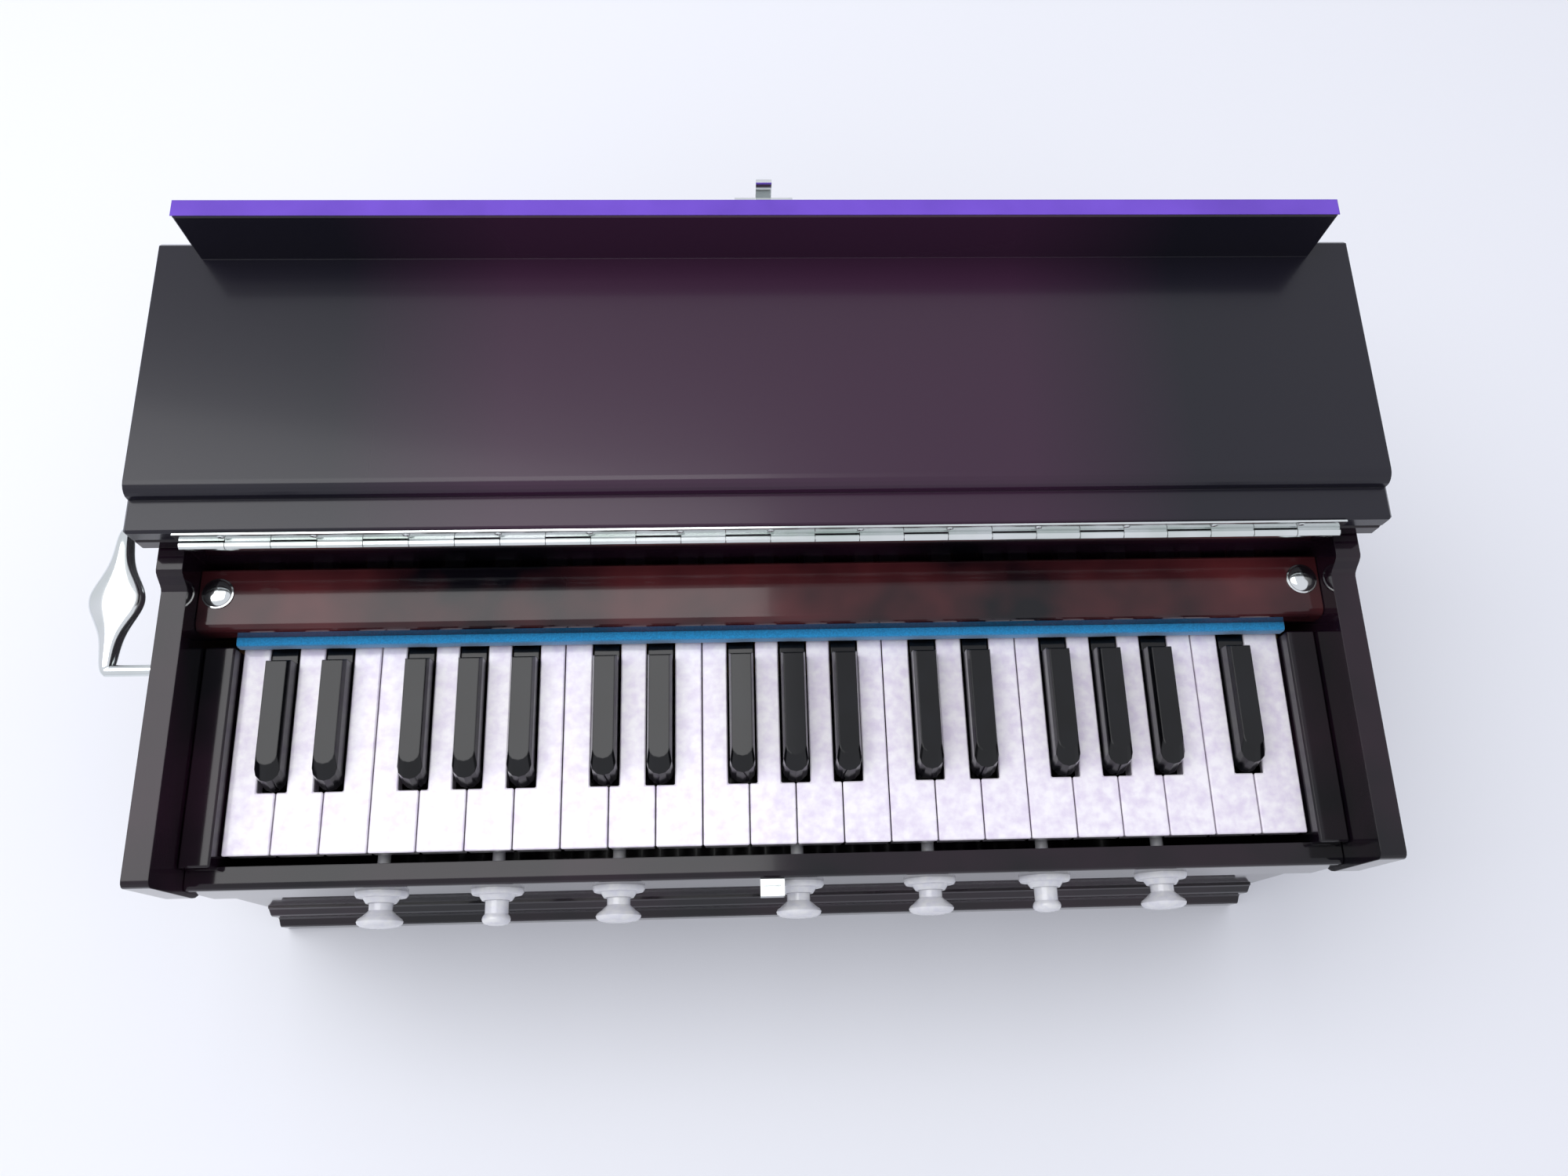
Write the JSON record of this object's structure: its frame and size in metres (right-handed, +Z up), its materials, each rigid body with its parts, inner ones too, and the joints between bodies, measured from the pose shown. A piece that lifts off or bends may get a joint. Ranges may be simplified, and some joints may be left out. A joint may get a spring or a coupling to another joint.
{
  "type": "harmonium",
  "caption": "Portable hand-pumped reed organ with rocking keys, draw knobs, rear bellows board, side handle and a lid that folds back on a piano hinge.",
  "frame": {"origin": "middle of the case's underside", "axes": "+Z up, -Y towards the player, +X towards the treble end of the keyboard"},
  "size_m": [0.6123, 0.3086, 0.2861],
  "materials": {
    "lacquer": "high-gloss black lacquer",
    "plain_wood": "bare",
    "pearl": "pearlised, polished",
    "black_key": "polished",
    "ivory": "polished",
    "felt": "napped felt",
    "chrome": "polished plating",
    "bellows_cloth": "matte"
  },
  "bodies": {
    "case": {"case": "lacquer", "pallet_board": "plain_wood", "front_rail": "lacquer", "name_rail": "lacquer", "felt_strip": "felt", "top_board": "lacquer", "hinge_leaf_case": "chrome", "lid_catch": "chrome", "handle": "chrome", "bellows_cloth": "bellows_cloth"},
    "lid": {"lid": "lacquer", "hinge_leaf_lid": "chrome", "lid_latch": "chrome"},
    "bellows_board": {"bellows_board": "lacquer"},
    "white_key_01": {"white_key_01": "pearl"},
    "white_key_02": {"white_key_02": "pearl"},
    "white_key_03": {"white_key_03": "pearl"},
    "white_key_04": {"white_key_04": "pearl"},
    "white_key_05": {"white_key_05": "pearl"},
    "white_key_06": {"white_key_06": "pearl"},
    "white_key_07": {"white_key_07": "pearl"},
    "white_key_08": {"white_key_08": "pearl"},
    "white_key_09": {"white_key_09": "pearl"},
    "white_key_10": {"white_key_10": "pearl"},
    "white_key_11": {"white_key_11": "pearl"},
    "white_key_12": {"white_key_12": "pearl"},
    "white_key_13": {"white_key_13": "pearl"},
    "white_key_14": {"white_key_14": "pearl"},
    "white_key_15": {"white_key_15": "pearl"},
    "white_key_16": {"white_key_16": "pearl"},
    "white_key_17": {"white_key_17": "pearl"},
    "white_key_18": {"white_key_18": "pearl"},
    "white_key_19": {"white_key_19": "pearl"},
    "white_key_20": {"white_key_20": "pearl"},
    "white_key_21": {"white_key_21": "pearl"},
    "white_key_22": {"white_key_22": "pearl"},
    "white_key_23": {"white_key_23": "pearl"},
    "black_key_01": {"black_key_01": "black_key"},
    "black_key_02": {"black_key_02": "black_key"},
    "black_key_03": {"black_key_03": "black_key"},
    "black_key_04": {"black_key_04": "black_key"},
    "black_key_05": {"black_key_05": "black_key"},
    "black_key_06": {"black_key_06": "black_key"},
    "black_key_07": {"black_key_07": "black_key"},
    "black_key_08": {"black_key_08": "black_key"},
    "black_key_09": {"black_key_09": "black_key"},
    "black_key_10": {"black_key_10": "black_key"},
    "black_key_11": {"black_key_11": "black_key"},
    "black_key_12": {"black_key_12": "black_key"},
    "black_key_13": {"black_key_13": "black_key"},
    "black_key_14": {"black_key_14": "black_key"},
    "black_key_15": {"black_key_15": "black_key"},
    "black_key_16": {"black_key_16": "black_key"},
    "stop_knob_1": {"stop_knob_1": "ivory"},
    "stop_knob_2": {"stop_knob_2": "ivory"},
    "stop_knob_3": {"stop_knob_3": "ivory"},
    "stop_knob_4": {"stop_knob_4": "ivory"},
    "stop_knob_5": {"stop_knob_5": "ivory"},
    "stop_knob_6": {"stop_knob_6": "ivory"},
    "stop_knob_7": {"stop_knob_7": "ivory"}
  },
  "joints": [
    {"name": "white_key_01_rock", "type": "hinge", "parent": "case", "child": "white_key_01", "pos_m": [0, 0.035, 0.165], "axis": [1, 0, 0], "range_deg": [0, 3.4], "stiffness_Nm_per_rad": 0.5, "springref_deg": -11.46},
    {"name": "white_key_02_rock", "type": "hinge", "parent": "case", "child": "white_key_02", "pos_m": [0, 0.035, 0.165], "axis": [1, 0, 0], "range_deg": [0, 3.4], "stiffness_Nm_per_rad": 0.5, "springref_deg": -11.46},
    {"name": "white_key_03_rock", "type": "hinge", "parent": "case", "child": "white_key_03", "pos_m": [0, 0.035, 0.165], "axis": [1, 0, 0], "range_deg": [0, 3.4], "stiffness_Nm_per_rad": 0.5, "springref_deg": -11.46},
    {"name": "white_key_04_rock", "type": "hinge", "parent": "case", "child": "white_key_04", "pos_m": [0, 0.035, 0.165], "axis": [1, 0, 0], "range_deg": [0, 3.4], "stiffness_Nm_per_rad": 0.5, "springref_deg": -11.46},
    {"name": "white_key_05_rock", "type": "hinge", "parent": "case", "child": "white_key_05", "pos_m": [0, 0.035, 0.165], "axis": [1, 0, 0], "range_deg": [0, 3.4], "stiffness_Nm_per_rad": 0.5, "springref_deg": -11.46},
    {"name": "white_key_06_rock", "type": "hinge", "parent": "case", "child": "white_key_06", "pos_m": [0, 0.035, 0.165], "axis": [1, 0, 0], "range_deg": [0, 3.4], "stiffness_Nm_per_rad": 0.5, "springref_deg": -11.46},
    {"name": "white_key_07_rock", "type": "hinge", "parent": "case", "child": "white_key_07", "pos_m": [0, 0.035, 0.165], "axis": [1, 0, 0], "range_deg": [0, 3.4], "stiffness_Nm_per_rad": 0.5, "springref_deg": -11.46},
    {"name": "white_key_08_rock", "type": "hinge", "parent": "case", "child": "white_key_08", "pos_m": [0, 0.035, 0.165], "axis": [1, 0, 0], "range_deg": [0, 3.4], "stiffness_Nm_per_rad": 0.5, "springref_deg": -11.46},
    {"name": "white_key_09_rock", "type": "hinge", "parent": "case", "child": "white_key_09", "pos_m": [0, 0.035, 0.165], "axis": [1, 0, 0], "range_deg": [0, 3.4], "stiffness_Nm_per_rad": 0.5, "springref_deg": -11.46},
    {"name": "white_key_10_rock", "type": "hinge", "parent": "case", "child": "white_key_10", "pos_m": [0, 0.035, 0.165], "axis": [1, 0, 0], "range_deg": [0, 3.4], "stiffness_Nm_per_rad": 0.5, "springref_deg": -11.46},
    {"name": "white_key_11_rock", "type": "hinge", "parent": "case", "child": "white_key_11", "pos_m": [0, 0.035, 0.165], "axis": [1, 0, 0], "range_deg": [0, 3.4], "stiffness_Nm_per_rad": 0.5, "springref_deg": -11.46},
    {"name": "white_key_12_rock", "type": "hinge", "parent": "case", "child": "white_key_12", "pos_m": [0, 0.035, 0.165], "axis": [1, 0, 0], "range_deg": [0, 3.4], "stiffness_Nm_per_rad": 0.5, "springref_deg": -11.46},
    {"name": "white_key_13_rock", "type": "hinge", "parent": "case", "child": "white_key_13", "pos_m": [0, 0.035, 0.165], "axis": [1, 0, 0], "range_deg": [0, 3.4], "stiffness_Nm_per_rad": 0.5, "springref_deg": -11.46},
    {"name": "white_key_14_rock", "type": "hinge", "parent": "case", "child": "white_key_14", "pos_m": [0, 0.035, 0.165], "axis": [1, 0, 0], "range_deg": [0, 3.4], "stiffness_Nm_per_rad": 0.5, "springref_deg": -11.46},
    {"name": "white_key_15_rock", "type": "hinge", "parent": "case", "child": "white_key_15", "pos_m": [0, 0.035, 0.165], "axis": [1, 0, 0], "range_deg": [0, 3.4], "stiffness_Nm_per_rad": 0.5, "springref_deg": -11.46},
    {"name": "white_key_16_rock", "type": "hinge", "parent": "case", "child": "white_key_16", "pos_m": [0, 0.035, 0.165], "axis": [1, 0, 0], "range_deg": [0, 3.4], "stiffness_Nm_per_rad": 0.5, "springref_deg": -11.46},
    {"name": "white_key_17_rock", "type": "hinge", "parent": "case", "child": "white_key_17", "pos_m": [0, 0.035, 0.165], "axis": [1, 0, 0], "range_deg": [0, 3.4], "stiffness_Nm_per_rad": 0.5, "springref_deg": -11.46},
    {"name": "white_key_18_rock", "type": "hinge", "parent": "case", "child": "white_key_18", "pos_m": [0, 0.035, 0.165], "axis": [1, 0, 0], "range_deg": [0, 3.4], "stiffness_Nm_per_rad": 0.5, "springref_deg": -11.46},
    {"name": "white_key_19_rock", "type": "hinge", "parent": "case", "child": "white_key_19", "pos_m": [0, 0.035, 0.165], "axis": [1, 0, 0], "range_deg": [0, 3.4], "stiffness_Nm_per_rad": 0.5, "springref_deg": -11.46},
    {"name": "white_key_20_rock", "type": "hinge", "parent": "case", "child": "white_key_20", "pos_m": [0, 0.035, 0.165], "axis": [1, 0, 0], "range_deg": [0, 3.4], "stiffness_Nm_per_rad": 0.5, "springref_deg": -11.46},
    {"name": "white_key_21_rock", "type": "hinge", "parent": "case", "child": "white_key_21", "pos_m": [0, 0.035, 0.165], "axis": [1, 0, 0], "range_deg": [0, 3.4], "stiffness_Nm_per_rad": 0.5, "springref_deg": -11.46},
    {"name": "white_key_22_rock", "type": "hinge", "parent": "case", "child": "white_key_22", "pos_m": [0, 0.035, 0.165], "axis": [1, 0, 0], "range_deg": [0, 3.4], "stiffness_Nm_per_rad": 0.5, "springref_deg": -11.46},
    {"name": "white_key_23_rock", "type": "hinge", "parent": "case", "child": "white_key_23", "pos_m": [0, 0.035, 0.165], "axis": [1, 0, 0], "range_deg": [0, 3.4], "stiffness_Nm_per_rad": 0.5, "springref_deg": -11.46},
    {"name": "black_key_01_rock", "type": "hinge", "parent": "case", "child": "black_key_01", "pos_m": [0, 0.035, 0.165], "axis": [1, 0, 0], "range_deg": [0, 3.4], "stiffness_Nm_per_rad": 0.5, "springref_deg": -11.46},
    {"name": "black_key_02_rock", "type": "hinge", "parent": "case", "child": "black_key_02", "pos_m": [0, 0.035, 0.165], "axis": [1, 0, 0], "range_deg": [0, 3.4], "stiffness_Nm_per_rad": 0.5, "springref_deg": -11.46},
    {"name": "black_key_03_rock", "type": "hinge", "parent": "case", "child": "black_key_03", "pos_m": [0, 0.035, 0.165], "axis": [1, 0, 0], "range_deg": [0, 3.4], "stiffness_Nm_per_rad": 0.5, "springref_deg": -11.46},
    {"name": "black_key_04_rock", "type": "hinge", "parent": "case", "child": "black_key_04", "pos_m": [0, 0.035, 0.165], "axis": [1, 0, 0], "range_deg": [0, 3.4], "stiffness_Nm_per_rad": 0.5, "springref_deg": -11.46},
    {"name": "black_key_05_rock", "type": "hinge", "parent": "case", "child": "black_key_05", "pos_m": [0, 0.035, 0.165], "axis": [1, 0, 0], "range_deg": [0, 3.4], "stiffness_Nm_per_rad": 0.5, "springref_deg": -11.46},
    {"name": "black_key_06_rock", "type": "hinge", "parent": "case", "child": "black_key_06", "pos_m": [0, 0.035, 0.165], "axis": [1, 0, 0], "range_deg": [0, 3.4], "stiffness_Nm_per_rad": 0.5, "springref_deg": -11.46},
    {"name": "black_key_07_rock", "type": "hinge", "parent": "case", "child": "black_key_07", "pos_m": [0, 0.035, 0.165], "axis": [1, 0, 0], "range_deg": [0, 3.4], "stiffness_Nm_per_rad": 0.5, "springref_deg": -11.46},
    {"name": "black_key_08_rock", "type": "hinge", "parent": "case", "child": "black_key_08", "pos_m": [0, 0.035, 0.165], "axis": [1, 0, 0], "range_deg": [0, 3.4], "stiffness_Nm_per_rad": 0.5, "springref_deg": -11.46},
    {"name": "black_key_09_rock", "type": "hinge", "parent": "case", "child": "black_key_09", "pos_m": [0, 0.035, 0.165], "axis": [1, 0, 0], "range_deg": [0, 3.4], "stiffness_Nm_per_rad": 0.5, "springref_deg": -11.46},
    {"name": "black_key_10_rock", "type": "hinge", "parent": "case", "child": "black_key_10", "pos_m": [0, 0.035, 0.165], "axis": [1, 0, 0], "range_deg": [0, 3.4], "stiffness_Nm_per_rad": 0.5, "springref_deg": -11.46},
    {"name": "black_key_11_rock", "type": "hinge", "parent": "case", "child": "black_key_11", "pos_m": [0, 0.035, 0.165], "axis": [1, 0, 0], "range_deg": [0, 3.4], "stiffness_Nm_per_rad": 0.5, "springref_deg": -11.46},
    {"name": "black_key_12_rock", "type": "hinge", "parent": "case", "child": "black_key_12", "pos_m": [0, 0.035, 0.165], "axis": [1, 0, 0], "range_deg": [0, 3.4], "stiffness_Nm_per_rad": 0.5, "springref_deg": -11.46},
    {"name": "black_key_13_rock", "type": "hinge", "parent": "case", "child": "black_key_13", "pos_m": [0, 0.035, 0.165], "axis": [1, 0, 0], "range_deg": [0, 3.4], "stiffness_Nm_per_rad": 0.5, "springref_deg": -11.46},
    {"name": "black_key_14_rock", "type": "hinge", "parent": "case", "child": "black_key_14", "pos_m": [0, 0.035, 0.165], "axis": [1, 0, 0], "range_deg": [0, 3.4], "stiffness_Nm_per_rad": 0.5, "springref_deg": -11.46},
    {"name": "black_key_15_rock", "type": "hinge", "parent": "case", "child": "black_key_15", "pos_m": [0, 0.035, 0.165], "axis": [1, 0, 0], "range_deg": [0, 3.4], "stiffness_Nm_per_rad": 0.5, "springref_deg": -11.46},
    {"name": "black_key_16_rock", "type": "hinge", "parent": "case", "child": "black_key_16", "pos_m": [0, 0.035, 0.165], "axis": [1, 0, 0], "range_deg": [0, 3.4], "stiffness_Nm_per_rad": 0.5, "springref_deg": -11.46},
    {"name": "stop_knob_1_draw", "type": "slide", "parent": "case", "child": "stop_knob_1", "axis": [0, -1, 0], "range_m": [0, 0.014]},
    {"name": "stop_knob_2_draw", "type": "slide", "parent": "case", "child": "stop_knob_2", "axis": [0, -1, 0], "range_m": [0, 0.014]},
    {"name": "stop_knob_3_draw", "type": "slide", "parent": "case", "child": "stop_knob_3", "axis": [0, -1, 0], "range_m": [0, 0.014]},
    {"name": "stop_knob_4_draw", "type": "slide", "parent": "case", "child": "stop_knob_4", "axis": [0, -1, 0], "range_m": [0, 0.014]},
    {"name": "stop_knob_5_draw", "type": "slide", "parent": "case", "child": "stop_knob_5", "axis": [0, -1, 0], "range_m": [0, 0.014]},
    {"name": "stop_knob_6_draw", "type": "slide", "parent": "case", "child": "stop_knob_6", "axis": [0, -1, 0], "range_m": [0, 0.014]},
    {"name": "stop_knob_7_draw", "type": "slide", "parent": "case", "child": "stop_knob_7", "axis": [0, -1, 0], "range_m": [0, 0.014]},
    {"name": "lid_hinge", "type": "hinge", "parent": "case", "child": "lid", "pos_m": [0, 0.0393, 0.22905], "axis": [1, 0, 0], "range_deg": [0, 180]},
    {"name": "bellows_hinge", "type": "hinge", "parent": "case", "child": "bellows_board", "pos_m": [0, 0.142, 0.006], "axis": [-1, 0, 0], "range_deg": [0, 18], "deforming": ["bellows_cloth"]}
  ]
}
